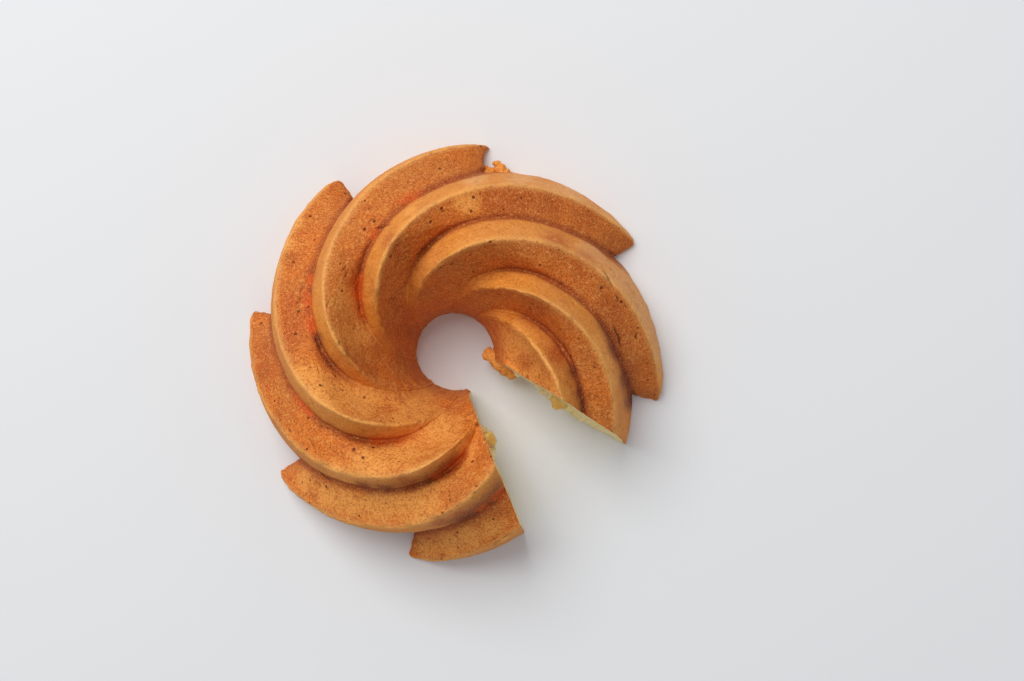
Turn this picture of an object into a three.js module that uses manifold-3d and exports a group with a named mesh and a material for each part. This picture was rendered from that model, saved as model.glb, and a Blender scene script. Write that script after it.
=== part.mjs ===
// A swirled apple ring cake with one wedge cut out of it, standing on its flat underside.
// Millimetres, +Z up. The ring's axis is vertical; +Y is away from the viewer.
import * as THREE from 'three';
import Module from 'manifold-3d';

// ---------- driving dimensions ----------
const RIDGES = 8; // swirl ridges round the ring
const HOLE_R = 21.2; // hole at the underside
const CREST = { peakR: 58.2, peakZ: 87.5, outer: 1.43, inner: 1.83, twist: 147 }; // ridge line: crown and sweep
const VALLEY = { peakR: 65.7, peakZ: 66, outer: 1.48, inner: 1.71, twist: 110 }; // groove line: crown and sweep
// One entry a ridge, anticlockwise from the one that the wedge has taken: the cake is uneven.
const TIP_ANGLE = [-57.8, -13.5, 30.8, 80.2, 123.7, 168.5, 214.2, 257.1]; // where the ridge meets the underside
const TIP_R = [116.5, 116, 116.3, 116, 117, 115.2, 120, 117.3]; // reach of that tip
const FOOT_R = [101.5, 100, 101.5, 100.5, 100.5, 103, 104, 101.5]; // root of the step beside the tip
const LEAD = [-7.4, -3.1, -2.7, 2.4, 3.4, 3.8, -1.9, 1.6]; // degrees that the crest soon runs ahead by
const LEAD_IN = 0.12; // how soon that lead is reached, along the ridge
const CREST_DRIFT = [6.1, 1.3, 1.7, -5.4, -3.8, -0.3, -1.0, 2.3]; // degrees ahead half way to the hole
const VALLEY_DRIFT = [3.3, 1.1, 3.6, -1.9, 1.3, -0.3, -3.0, 3.3];
const CREST_ROUND = 0.07; // share of a flank taken by the rounded crest
const TIP_ROUND = 0.1; // more of that at the tips
const FADE_FROM = 0.56; // from here, edge to hole, the step beyond each crest runs out
const FADE_END = [0.84, 0.92, 0.9, 0.78, 0.81, 0.74, 0.85, 0.95]; // and here it is gone
const MEET = [0.5, 0.8, 0.8, 0.5, 0.5, 0.25, 0.5, 1]; // how far towards the groove the crest meets it
const FADE_STEP = 4; // degrees that are left between the two
const GROOVE_RUN = 5; // degrees that the groove gains towards the hole
const FLANK_HOLLOW = 1.0; // dish of the flank that faces the hole
const FOOT_BULGE = 1.0; // swell of the other flank at its foot

const ROWS = 44; // facets from the outer edge over the crown to the hole
const OUTER_FLANK = [0, 0.07, 0.3, 0.6, 0.86]; // facets from crest to groove
const INNER_FLANK = [0, 0.12, 0.4, 0.7, 0.93]; // facets from groove to the next crest

// The missing wedge: two knife cuts, each a line on the underside that passes the axis at the given
// distance (less than 0: on the cake's side of it), and the lean of its face out over the gap.
const CUT_LEFT = { angle: -68, offset: -2, lean: 4.5, side: 1 };
const CUT_RIGHT = { angle: -32, offset: -7.6, lean: -3.9, side: -1 };
const CUT_REACH = 190; // length of each cut, past the rim

// Apple dice that show in the cut faces: distance from the axis along the cut, height, how far the
// middle lies out of the face, half sizes, turn about the vertical. The knife has split the flush ones.
const APPLES = [
  { cut: CUT_LEFT, along: 50, z: 36, out: 0.2, half: [4.6, 4.4, 5.6], turn: 25, flush: false },
  { cut: CUT_LEFT, along: 76, z: 24, out: -1.5, half: [6.6, 5.5, 5.2], turn: -20, flush: true },
  { cut: CUT_LEFT, along: 66, z: 52, out: -2.5, half: [5.6, 6.0, 5.0], turn: 50, flush: true },
  { cut: CUT_RIGHT, along: 63, z: 26, out: 0.4, half: [4.8, 4.4, 5.0], turn: 10, flush: false },
  { cut: CUT_RIGHT, along: 78, z: 20, out: -1.5, half: [7.0, 6.0, 5.6], turn: 40, flush: true },
  { cut: CUT_RIGHT, along: 62, z: 56, out: -2.5, half: [5.4, 5.6, 5.2], turn: -35, flush: true },
];
const APPLE_SQUARE = 0.55; // 1 is an ellipsoid, towards 0 a box
const APPLE_SIDES = 18;
const GAP = 0.3; // clearance between an apple piece and the crumb round it

const rad = THREE.MathUtils.degToRad;
const lerp = THREE.MathUtils.lerp;

// ---------- the swirled surface ----------
// A line over the ring's body in its own upright section: t = 0 at the outer edge of the underside,
// 0.5 at the crown, 1 at the hole.
function sectionPoint(t, line, footR) {
  const w = Math.PI * t;
  const power = 2 / (t < 0.5 ? line.outer : line.inner);
  const span = t < 0.5 ? footR - line.peakR : line.peakR - HOLE_R;
  const across = t === 0 || t === 1 ? 1 : Math.abs(Math.cos(w)) ** power;
  const up = t === 0 || t === 1 ? 0 : Math.sin(w) ** power;
  return { r: line.peakR + (t < 0.5 ? span : -span) * across, z: line.peakZ * up };
}

function crestLine(k, t) {
  const i = k % RIDGES;
  const p = sectionPoint(t, CREST, TIP_R[i]);
  const s = (TIP_R[i] - p.r) / (TIP_R[i] - HOLE_R);
  const even = CREST.twist * (s + s * (1 - s) * (0.24 - 0.53 * s));
  const sweep = even + LEAD[i] * (1 - Math.exp(-s / LEAD_IN)) + CREST_DRIFT[i] * 4 * s * (1 - s);
  return { ...p, a: TIP_ANGLE[i] + 360 * Math.floor(k / RIDGES) + sweep };
}

function valleyLine(k, t) {
  const i = k % RIDGES;
  const p = sectionPoint(t, VALLEY, FOOT_R[i]);
  const s = (FOOT_R[i] - p.r) / (FOOT_R[i] - HOLE_R);
  const sweep = VALLEY.twist * (s - 0.71 * s * (1 - s) ** 6) + VALLEY_DRIFT[i] * 4 * s * (1 - s);
  return { ...p, a: TIP_ANGLE[i] + 360 * Math.floor(k / RIDGES) + sweep };
}

// Towards the hole a crest and the groove beyond it close up, and end half way between their heights.
function fade(k, t) {
  return THREE.MathUtils.smoothstep(t, FADE_FROM, FADE_END[k % RIDGES]);
}

function grooveAngle(k, t) {
  return valleyLine(k, t).a + GROOVE_RUN * THREE.MathUtils.smoothstep(t, 0.45, 0.85);
}

function crest(k, t) {
  const p = crestLine(k, t), q = valleyLine(k + 1, t), f = fade(k, t);
  const step = (grooveAngle(k + 1, t) - p.a) * MEET[k % RIDGES] - FADE_STEP / 2;
  return { r: lerp(p.r, q.r, f / 2), z: lerp(p.z, q.z, f / 2), a: p.a + step * f };
}

function valley(k, t) {
  const p = valleyLine(k, t), q = crestLine(k - 1, t), f = fade(k - 1, t);
  const step = (grooveAngle(k, t) - q.a) * (1 - MEET[(k - 1) % RIDGES]) - FADE_STEP / 2;
  return { r: lerp(p.r, q.r, f / 2), z: lerp(p.z, q.z, f / 2), a: grooveAngle(k, t) - step * f };
}

function between(p, q, f) {
  return { r: lerp(p.r, q.r, f), z: lerp(p.z, q.z, f), a: lerp(p.a, q.a, f) };
}

// The flank that falls outwards from ridge k, then the one that rises from the groove to ridge k + 1.
function outerFlank(k, t, f) {
  const p = between(crest(k, t), valley(k + 1, t), f);
  const swell = t < 0.5 ? FOOT_BULGE * 4 * f * (1 - f) * Math.cos(Math.PI * t) ** 2 : 0;
  return { ...p, r: p.r + swell };
}
function innerFlank(k, t, f) {
  const p = between(valley(k + 1, t), crest(k + 1, t), f);
  const dish = FLANK_HOLLOW * 4 * f * (1 - f) * Math.sin(Math.PI * t) ** 2;
  return { ...p, z: p.z - dish };
}
function roundedCrest(k, t) {
  const width = CREST_ROUND + TIP_ROUND * Math.exp(-t / 0.04);
  const sides = between(outerFlank(k, t, width), innerFlank(k - 1, t, 1 - width), 0.5);
  return between(crest(k, t), sides, 0.5);
}

function ringRow(t) {
  const row = [];
  for (let k = RIDGES; k < 2 * RIDGES; k++) {
    for (const f of OUTER_FLANK) row.push(f === 0 ? roundedCrest(k, t) : outerFlank(k, t, f));
    for (const f of INNER_FLANK) row.push(innerFlank(k, t, f));
  }
  return row.map((p) => [p.r * Math.cos(rad(p.a)), p.r * Math.sin(rad(p.a)), p.z]);
}

function ringSolid() {
  const rows = Array.from({ length: ROWS + 1 }, (_, i) => ringRow(i / ROWS));
  const n = rows[0].length;
  const vertices = rows.flat();
  const faces = [];
  for (let i = 0; i < ROWS; i++) {
    for (let j = 0; j < n; j++) {
      const a = i * n + j, b = i * n + ((j + 1) % n), c = a + n, d = b + n;
      faces.push([a, b, d], [a, d, c]);
    }
  }
  const flat = (row) => row.map(([x, y]) => new THREE.Vector2(x, y));
  const start = ROWS * n;
  for (const tri of THREE.ShapeUtils.triangulateShape(flat(rows[0]), [flat(rows[ROWS])])) {
    faces.push(tri.map((v) => (v < n ? v : start + v - n)).reverse());
  }
  return [vertices, faces];
}

// ---------- the wedge and the apple pieces ----------
// A cut's own axes: along it away from the ring's axis, out of its face into the gap, and up its slope.
function cutAxes(cut) {
  const along = new THREE.Vector2(Math.cos(rad(cut.angle)), Math.sin(rad(cut.angle)));
  const out = new THREE.Vector2(-along.y * cut.side, along.x * cut.side);
  const at = (distance, z, away = 0) => {
    const o = cut.offset + Math.tan(rad(cut.lean)) * z + away;
    return [along.x * distance + out.x * o, along.y * distance + out.y * o, z];
  };
  return { along, out, at };
}

function wedgeSolid() {
  const left = cutAxes(CUT_LEFT), right = cutAxes(CUT_RIGHT);
  const apex = (z) => {
    const p = left.at(0, z), q = right.at(0, z);
    const det = left.along.x * right.along.y - left.along.y * right.along.x;
    const m = ((q[0] - p[0]) * right.along.y - (q[1] - p[1]) * right.along.x) / det;
    return left.at(m, z);
  };
  const low = -10, high = CREST.peakZ + 10;
  const vertices = [low, high].flatMap((z) => [apex(z), left.at(CUT_REACH, z), right.at(CUT_REACH, z)]);
  const faces = [[0, 2, 1], [3, 4, 5], [0, 1, 4], [0, 4, 3], [1, 2, 5], [1, 5, 4], [2, 0, 3], [2, 3, 5]];
  return [vertices, faces];
}

function appleSolid(apple, grow) {
  const cut = cutAxes(apple.cut);
  const middle = new THREE.Vector3(...cut.at(apple.along, apple.z, apple.out));
  const bend = (v) => Math.sign(v) * Math.abs(v) ** APPLE_SQUARE;
  const [hx, hy, hz] = apple.half.map((h) => h + grow);
  const turn = rad(apple.turn);
  const rings = APPLE_SIDES / 2;
  const place = (u, w) => {
    const x = hx * bend(Math.cos(u)) * bend(Math.sin(w)), y = hy * bend(Math.sin(u)) * bend(Math.sin(w));
    return [
      middle.x + x * Math.cos(turn) - y * Math.sin(turn),
      middle.y + x * Math.sin(turn) + y * Math.cos(turn),
      middle.z - hz * bend(Math.cos(w)),
    ];
  };
  const vertices = [place(0, 0)];
  for (let i = 1; i < rings; i++) {
    for (let j = 0; j < APPLE_SIDES; j++) {
      vertices.push(place((2 * Math.PI * (j + 0.5)) / APPLE_SIDES, (Math.PI * i) / rings));
    }
  }
  vertices.push(place(0, Math.PI));
  const last = vertices.length - 1, faces = [];
  for (let j = 0; j < APPLE_SIDES; j++) {
    const next = (j + 1) % APPLE_SIDES;
    faces.push([0, 1 + next, 1 + j]);
    for (let i = 0; i < rings - 2; i++) {
      const a = 1 + i * APPLE_SIDES + j, b = 1 + i * APPLE_SIDES + next;
      faces.push([a, b, b + APPLE_SIDES], [a, b + APPLE_SIDES, a + APPLE_SIDES]);
    }
    faces.push([last, last - APPLE_SIDES + j, last - APPLE_SIDES + next]);
  }
  return [vertices, faces];
}

// ---------- cutting and the scene graph ----------
const wasm = await Module();
wasm.setup();

function solid([vertices, faces]) {
  return new wasm.Manifold(new wasm.Mesh({
    numProp: 3,
    vertProperties: Float32Array.from(vertices.flat()),
    triVerts: Uint32Array.from(faces.flat()),
  }));
}

function mesh(name, body, material) {
  const { vertProperties, triVerts } = body.getMesh();
  const geometry = new THREE.BufferGeometry();
  geometry.setAttribute('position', new THREE.BufferAttribute(vertProperties, 3));
  geometry.setIndex(new THREE.BufferAttribute(triVerts, 1));
  geometry.computeVertexNormals();
  const result = new THREE.Mesh(geometry, material);
  result.name = name;
  return result;
}

const crust = new THREE.MeshStandardMaterial({ color: 0xb87336, roughness: 0.8, metalness: 0 });
const apple = new THREE.MeshStandardMaterial({ color: 0xdcb55a, roughness: 0.4, metalness: 0 });

const wedge = solid(wedgeSolid());
let cake = solid(ringSolid()).subtract(wedge);
const pieces = APPLES.map((piece) => {
  cake = cake.subtract(solid(appleSolid(piece, GAP)));
  const body = solid(appleSolid(piece, 0));
  return piece.flush ? body.subtract(wedge) : body;
});

const group = new THREE.Group();
group.name = 'apple_cake';
group.add(mesh('cake', cake, crust));
pieces.forEach((body, i) => group.add(mesh(`apple_piece_${i + 1}`, body, apple)));

// The part's origin is the middle of its footprint, on the surface that it stands on.
const box = new THREE.Box3().setFromObject(group);
const middle = box.getCenter(new THREE.Vector3());
for (const part of group.children) part.geometry.translate(-middle.x, -middle.y, -box.min.z);

export default group;
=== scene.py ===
"""A swirled apple ring cake with one wedge cut out: the looks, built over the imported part.

Metres, +Z up, in the part's frame. Shapes are worked out in millimetres round the ring's own axis, from
the same named sizes as the part, and moved into the frame when they become meshes.
"""
import math
import random

import bmesh
import bpy
import numpy as np
from mathutils import Matrix, Vector, kdtree, noise
from mathutils.bvhtree import BVHTree


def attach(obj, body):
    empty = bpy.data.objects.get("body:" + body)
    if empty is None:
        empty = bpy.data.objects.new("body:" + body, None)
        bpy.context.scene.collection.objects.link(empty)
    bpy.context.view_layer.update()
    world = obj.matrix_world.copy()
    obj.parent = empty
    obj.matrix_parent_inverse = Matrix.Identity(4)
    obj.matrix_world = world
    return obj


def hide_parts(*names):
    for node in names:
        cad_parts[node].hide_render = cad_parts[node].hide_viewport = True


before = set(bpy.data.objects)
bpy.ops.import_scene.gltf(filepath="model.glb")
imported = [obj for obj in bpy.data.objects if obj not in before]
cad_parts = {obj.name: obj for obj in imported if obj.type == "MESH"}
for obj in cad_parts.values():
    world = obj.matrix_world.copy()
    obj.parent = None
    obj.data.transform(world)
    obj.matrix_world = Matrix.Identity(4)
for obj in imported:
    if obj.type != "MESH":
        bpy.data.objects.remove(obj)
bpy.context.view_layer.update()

MM = 0.001
AXIS = Vector((0.06, 0.20, 0.0))  # the ring's axis in the part's frame

# ---------- the ring's driving dimensions ----------
RIDGES = 8
HOLE_R = 21.2
# The crests' and the grooves' cross-sections: highest point, how full the outer and the inner side are.
CREST = dict(peak_r=58.2, peak_z=87.5, outer=1.43, inner=1.83)
VALLEY = dict(peak_r=65.7, peak_z=66.0, outer=1.48, inner=1.71)
CREST_TWIST, VALLEY_TWIST = 147.0, 110.0  # degrees from the edge to the hole
CREST_BEND, CREST_BEND_IN, VALLEY_BEND = 0.24, 0.53, 0.71  # how far the sweeps stray from even ones
# Each ridge's own shape: where its crest and groove start, and how they stray from an even swirl.
TIP_ANGLE = np.array([-57.8, -13.5, 30.8, 80.2, 123.7, 168.5, 214.2, 257.1])
TIP_R = np.array([116.5, 116, 116.3, 116, 117, 115.2, 120, 117.3])
FOOT_R = np.array([101.5, 100, 101.5, 100.5, 100.5, 103, 104, 101.5])
LEAD = np.array([-7.4, -3.1, -2.7, 2.4, 3.4, 3.8, -1.9, 1.6])
LEAD_IN = 0.12  # share of the way in, after which the lead has built up
CREST_DRIFT = np.array([6.1, 1.3, 1.7, -5.4, -3.8, -0.3, -1.0, 2.3])
VALLEY_DRIFT = np.array([3.3, 1.1, 3.6, -1.9, 1.3, -0.3, -3.0, 3.3])
CREST_ROUND, VALLEY_ROUND = 0.09, 0.045  # share of a flank taken by the rounded edge
TIP_ROUND, TIP_REACH = 0.14, 0.04  # more of that at the tips
HOLE_ROUND, HOLE_ROUND_FROM = 0.25, 0.6  # and towards the hole, where the ridges fade out
FADE_FROM = 0.56  # from here, edge to hole, the step beyond each crest runs out
FADE_END = np.array([0.84, 0.92, 0.9, 0.78, 0.81, 0.74, 0.85, 0.95])  # and here it is gone
MEET = np.array([0.5, 0.8, 0.8, 0.5, 0.5, 0.25, 0.5, 1])  # how far towards the groove the crest meets it
FADE_STEP = 4.0  # degrees that are left between the two
GROOVE_RUN = 5.0  # degrees that the groove gains towards the hole
GROOVE_RUN_OVER = (0.45, 0.85)  # stretch from edge to hole over which it does
FLANK_HOLLOW = 1.0  # dish of the flanks that face the hole
FOOT_BULGE = 1.0  # swell of the others at their foot

ROWS = 200  # facets from the outer edge over the crown to the hole
FLANK_COLUMNS = 23  # facets across each flank
CROWDING = 0.11  # how much closer together they are at the crest and the groove
SINK = 3.0  # how far the raw ring reaches below the table before its underside is cut

# The wedge: lines on the underside, distance from the axis towards the gap, lean of the face.
CUT_LEFT = dict(angle=-68.0, offset=-2.0, lean=4.5, side=1)
CUT_RIGHT = dict(angle=-32.0, offset=-7.6, lean=-3.9, side=-1)
CUT_REACH = 132.0  # length of the shaved faces
CUT_FACET = 0.62  # size of their facets

APPLE_SQUARE = 0.55  # 1: an ellipsoid, 0: a block
APPLE_GRID = 56, 36  # points round each piece, and from its foot to its top
APPLE_PROUD = 0.25  # how far a split piece stands out of the crumb
# Each piece's place: which cut, how far along it, height, and how far its middle stands out of it.
APPLES = [
    dict(cut=CUT_LEFT, along=50, z=36, out=0.2, half=(4.6, 4.4, 5.6), turn=25, flush=False),
    dict(cut=CUT_LEFT, along=76, z=24, out=-1.5, half=(6.6, 5.5, 5.2), turn=-20, flush=True),
    dict(cut=CUT_LEFT, along=66, z=52, out=-2.5, half=(5.6, 6.0, 5.0), turn=50, flush=True),
    dict(cut=CUT_RIGHT, along=63, z=26, out=0.4, half=(4.8, 4.4, 5.0), turn=10, flush=False),
    dict(cut=CUT_RIGHT, along=78, z=20, out=-1.5, half=(7.0, 6.0, 5.6), turn=40, flush=True),
    dict(cut=CUT_RIGHT, along=62, z=56, out=-2.5, half=(5.4, 5.6, 5.2), turn=-35, flush=True),
]


def mesh_object(name, vertices, faces):
    """A mesh from millimetres round the ring's axis."""
    mesh = bpy.data.meshes.new(name)
    placed = (np.asarray(vertices, dtype=float) + np.array(AXIS)) * MM
    mesh.from_pydata(placed.tolist(), [], [tuple(map(int, f)) for f in faces])
    mesh.update()
    obj = bpy.data.objects.new(name, mesh)
    bpy.context.scene.collection.objects.link(obj)
    return obj


def grid_faces(rows, columns, closed):
    """Quads of a grid of points stored row by row. closed joins the last column to the first."""
    i = np.arange(rows - 1)[:, None] * columns
    j = np.arange(columns if closed else columns - 1)[None, :]
    k = (j + 1) % columns
    return np.stack([i + j, i + k, i + columns + k, i + columns + j], axis=-1).reshape(-1, 4)


def field(points, size, seed):
    """Smooth noise between about -1 and 1 at each point, with lumps of that size in millimetres."""
    shift = Vector((seed * 17.3, seed * 5.1, seed * 9.7))
    return np.array([noise.noise(Vector(p) / size + shift) for p in points])


def layered(points, layers):
    """Noise in layers, each given as its height, the size of its lumps and a seed."""
    return sum(height * field(points, size, seed) for height, size, seed in layers)


# ---------- the swirled surface ----------
def section(t, line, foot_r):
    """Radius and height of a line over the ring's body: t = 0 outer edge, 0.5 crown, 1 hole."""
    w = np.pi * t
    power = 2 / np.where(t < 0.5, line["outer"], line["inner"])
    span = np.where(t < 0.5, foot_r - line["peak_r"], HOLE_R - line["peak_r"])
    r = line["peak_r"] + span * np.abs(np.cos(w)) ** power
    z = line["peak_z"] * np.clip(np.sin(w), 0, 1) ** power
    return r, np.where((t <= 0) | (t >= 1), 0, z)


def crest_line(k, t):
    i = k % RIDGES
    r, z = section(t, CREST, TIP_R[i])
    s = (TIP_R[i] - r) / (TIP_R[i] - HOLE_R)
    sweep = CREST_TWIST * (s + s * (1 - s) * (CREST_BEND - CREST_BEND_IN * s))
    sweep += LEAD[i] * (1 - np.exp(-s / LEAD_IN)) + CREST_DRIFT[i] * 4 * s * (1 - s)
    return np.stack([r, TIP_ANGLE[i] + 360 * (k // RIDGES) + sweep, z])


def valley_line(k, t):
    i = k % RIDGES
    r, z = section(t, VALLEY, FOOT_R[i])
    s = (FOOT_R[i] - r) / (FOOT_R[i] - HOLE_R)
    sweep = VALLEY_TWIST * (s - VALLEY_BEND * s * (1 - s) ** 6) + VALLEY_DRIFT[i] * 4 * s * (1 - s)
    return np.stack([r, TIP_ANGLE[i] + 360 * (k // RIDGES) + sweep, z])


def smoothstep(x, low, high):
    u = np.clip((x - low) / (high - low), 0, 1)
    return u * u * (3 - 2 * u)


def fade(k, t):
    """Towards the hole a crest and the groove beyond it close up, and end half way between their heights."""
    return smoothstep(t, FADE_FROM, FADE_END[k % RIDGES])


def groove_angle(k, t):
    return valley_line(k, t)[1] + GROOVE_RUN * smoothstep(t, *GROOVE_RUN_OVER)


def halfway(a, b, share):
    return a + (b - a) * share / 2


def crest(k, t):
    p, q, f = crest_line(k, t), valley_line(k + 1, t), fade(k, t)
    step = (groove_angle(k + 1, t) - p[1]) * MEET[k % RIDGES] - FADE_STEP / 2
    return np.stack([halfway(p[0], q[0], f), p[1] + step * f, halfway(p[2], q[2], f)])


def valley(k, t):
    p, q, f = valley_line(k, t), crest_line(k - 1, t), fade(k - 1, t)
    step = (groove_angle(k, t) - q[1]) * (1 - MEET[(k - 1) % RIDGES]) - FADE_STEP / 2
    return np.stack([halfway(p[0], q[0], f), groove_angle(k, t) - step * f, halfway(p[2], q[2], f)])


def outer_flank(k, t, f):
    """The flank that falls outwards from crest k, f = 0, to the groove beyond it, f = 1."""
    a, b = crest(k, t), valley(k + 1, t)
    p = a + (b - a) * f
    p[0] += FOOT_BULGE * 4 * f * (1 - f) * np.where(t < 0.5, np.cos(np.pi * t) ** 2, 0)
    return p


def inner_flank(k, t, f):
    """The flank that rises from that groove to the next crest and faces the hole."""
    a, b = valley(k + 1, t), crest(k + 1, t)
    p = a + (b - a) * f
    p[2] -= FLANK_HOLLOW * 4 * f * (1 - f) * np.sin(np.pi * t) ** 2
    return p


def flank(k, t, s):
    """Sharp profile: s = 0 on crest k, 1 in the groove beyond it, 2 on the next crest."""
    p = np.where(s <= 1, outer_flank(k, t, s), inner_flank(k, t, s - 1))
    p = np.where(s < 0, inner_flank(k - 1, t, s + 1), p)
    return np.where(s > 2, outer_flank(k + 1, t, s - 2), p)


def profile(k, t, s):
    """The flank with its crests and groove rounded, the crests more so towards their tips."""
    p = flank(k, t, s)
    crest_width = CREST_ROUND + TIP_ROUND * np.exp(-t / TIP_REACH)
    crest_width += HOLE_ROUND * np.clip((t - HOLE_ROUND_FROM) / (1 - HOLE_ROUND_FROM), 0, 1)
    for corner, width in ((0, crest_width), (1, VALLEY_ROUND), (2, crest_width)):
        u = (s - corner + width) / (2 * width)
        a, b, c = (flank(k, t, corner + d) for d in (-width, 0, width))
        p = np.where((u > 0) & (u < 1), (1 - u) ** 2 * a + 2 * u * (1 - u) * b + u**2 * c, p)
    return p


def flank_stops():
    """Places across one ridge's two flanks, from crest to crest."""
    f = np.arange(FLANK_COLUMNS) / FLANK_COLUMNS
    eased = f - CROWDING * np.sin(2 * np.pi * f)
    return np.concatenate([eased, 1 + eased])


def ring_grid():
    """Positions (rows, columns, 3), and each point's t, s and how far its step has run out."""
    t = np.linspace(0, 1, ROWS + 1)
    stops = flank_stops()
    columns = [profile(k, t, s) for k in range(RIDGES, 2 * RIDGES) for s in stops]
    r, a, z = np.stack(columns, axis=-1)
    a = np.radians(a)
    points = np.stack([r * np.cos(a), r * np.sin(a), z], axis=-1)
    across = np.tile(stops, RIDGES)
    near_crest = [k + (s > 1.5) for k in range(RIDGES, 2 * RIDGES) for s in stops]
    faded = np.stack([fade(k, t) for k in near_crest], axis=-1)
    return points, np.repeat(t[:, None], len(across), 1), np.repeat(across[None], len(t), 0), faded


def grid_normals(p):
    along = np.gradient(p, axis=0)
    around = (np.roll(p, -1, axis=1) - np.roll(p, 1, axis=1)) / 2
    n = np.cross(around, along)
    return n / np.maximum(np.linalg.norm(n, axis=-1, keepdims=True), 1e-9)


# ---------- the crust's relief ----------
# Bumps of the crust in layers: height in millimetres, size of the lumps, seed.
CRUST_BUMPS = [(0.55, 24, 1), (0.35, 8, 2), (0.16, 3.2, 3), (0.1, 1.7, 4)]
EDGE_BUMPS = [(0.75, 6, 15), (0.5, 2.4, 16), (0.25, 1.1, 20)]  # more along the crests
TIP_BUMPS = [(0.9, 5, 18), (0.6, 2.2, 19)]  # and at the ridges' tips
GROOVE_BUMPS = [(0.5, 6, 17)]
GROOVE_DEPTH = 0.35  # the grooves are pinched by this much
EDGE_WIDTH, GROOVE_WIDTH = 0.1, 0.08  # shares of a flank that the two reach over
TIP_LENGTH = 0.035  # share of the way from edge to hole
EDGE_START, TIP_START = 0.05, 0.004  # where the crests' and the tips' bumps have built up
HOLE_WALL = 0.75  # from here to the hole the crust is smooth
PITS = 420  # larger pits in the crust
PIT_RADIUS = (0.6, 1.5)
PIT_DEPTH = (0.3, 0.9)
PIT_CHANCE_INWARD, PIT_CHANCE_OUTWARD = 0.9, 0.3  # most sit on the flanks that face the hole
# Pits that stand out: place from above, radius, depth.
MARKED_PITS = [
    (-68, -46, 2.0, 1.5), (-70, -70, 1.9, 1.4), (-64, -37, 1.8, 1.4), (-19, -28, 1.2, 1.2),
    (-90, -24, 1.7, 1.2), (61, 83, 1.7, 1.3), (17, -65, 1.6, 1.2), (-23, -47, 1.2, 1.0),
    (-56, -49, 1.2, 0.9), (-45, -49, 1.2, 0.9), (66, 26, 1.5, 1.2), (88, 28, 1.4, 1.1),
    (98, 8, 1.7, 1.4), (-18, 54, 1.6, 1.6), (-19, 51, 1.6, 1.5), (-20, 48, 1.5, 1.3),
    (-27, 28, 1.4, 1.2), (-49, 44, 1.9, 0.9), (-49, 40, 1.9, 0.9),
]
# Cracks in the crust: the points that they pass from above, half width, depth.
CRACKS = [
    ([(26, -93), (24.5, -97), (25, -101)], 0.5, 0.9),
    ([(-20, 57), (-23, 52), (-22, 48), (-24, 43)], 0.8, 0.7),
    ([(-70, -62), (-66, -66), (-63, -67)], 0.6, 0.8),
    ([(80, 44), (84, 39), (86, 33)], 0.7, 0.9),
    ([(86, 14), (89, 9), (90, 4)], 0.8, 1.1),
    ([(-34, 64), (-30, 66), (-27, 66)], 0.6, 0.8),
    ([(-74, 36), (-76, 31), (-75, 27)], 0.7, 0.9),
    ([(10, -34), (12, -34)], 0.7, 0.9),
]
CRACK_WANDER = 0.8
BITES = [(22.5, 105.8, 7.4)]  # out of the outline: place from above, radius
BITE_BUMPS = [(0.7, 3, 23), (0.4, 1.3, 24)]


def crack_depth(points):
    """Depth of the cracks at each point, seen from above; their line wanders a little."""
    flat = points[:, :2] + CRACK_WANDER * np.stack([field(points, 5, 21), field(points, 5, 22)], axis=-1)
    depth = np.zeros(len(points))
    for line, half_width, deepest in CRACKS:
        for a, b in zip(line[:-1], line[1:]):
            a, span = np.array(a, dtype=float), np.array(b, dtype=float) - np.array(a, dtype=float)
            along = np.clip(((flat - a) @ span) / (span @ span), 0, 1)
            away = np.linalg.norm(flat - a - along[:, None] * span, axis=1)
            depth = np.maximum(depth, deepest * np.exp(-((away / half_width) ** 2)))
    return depth


def relief(points, across, t):
    """Height of the crust over the smooth swirl, in millimetres, and how far each point is in a pit."""
    height = layered(points, CRUST_BUMPS)
    edge = np.exp(-((np.minimum(across, 2 - across) / EDGE_WIDTH) ** 2)) * np.clip(t / EDGE_START, 0, 1)
    height += edge * layered(points, EDGE_BUMPS)
    tip = np.exp(-t / TIP_LENGTH) * np.clip(t / TIP_START, 0.4, 1)
    height += tip * layered(points, TIP_BUMPS)
    groove = np.exp(-(((across - 1) / GROOVE_WIDTH) ** 2))
    height += groove * (layered(points, GROOVE_BUMPS) - GROOVE_DEPTH)
    cracks = crack_depth(points)
    pit = np.minimum(cracks, 1.0)
    height -= cracks
    tree = kdtree.KDTree(len(points))
    above = kdtree.KDTree(len(points))
    for i, p in enumerate(points):
        tree.insert(p, i)
        above.insert((p[0], p[1], 0), i)
    tree.balance()
    above.balance()
    pits = [(above.find((x, y, 0))[1], radius, depth) for x, y, radius, depth in MARKED_PITS]
    rng = random.Random(11)
    while len(pits) < PITS:
        i = rng.randrange(len(points))
        if t[i] > HOLE_WALL or rng.random() > (PIT_CHANCE_INWARD if across[i] > 1 else PIT_CHANCE_OUTWARD):
            continue
        size = rng.random() ** 3
        pits.append((i, *(low + (high - low) * size for low, high in (PIT_RADIUS, PIT_DEPTH))))
    for i, radius, depth in pits:
        for _, j, d in tree.find_range(points[i], 2.2 * radius):
            inside = math.exp(-((d / radius) ** 2) * 1.6)
            height[j] -= depth * inside
            pit[j] = max(pit[j], inside * min(1.0, radius / PIT_RADIUS[1]))
    return height, pit


def bite(points):
    """Pushes what lies inside a bite back to its ragged edge."""
    for x, y, radius in BITES:
        away = points[:, :2] - (x, y)
        d = np.linalg.norm(away, axis=1)
        edge = radius + layered(points, BITE_BUMPS)
        inside = d < edge
        points[inside, :2] = (x, y) + away[inside] * (edge / np.maximum(d, 0.1))[inside, None]
    return points


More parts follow.
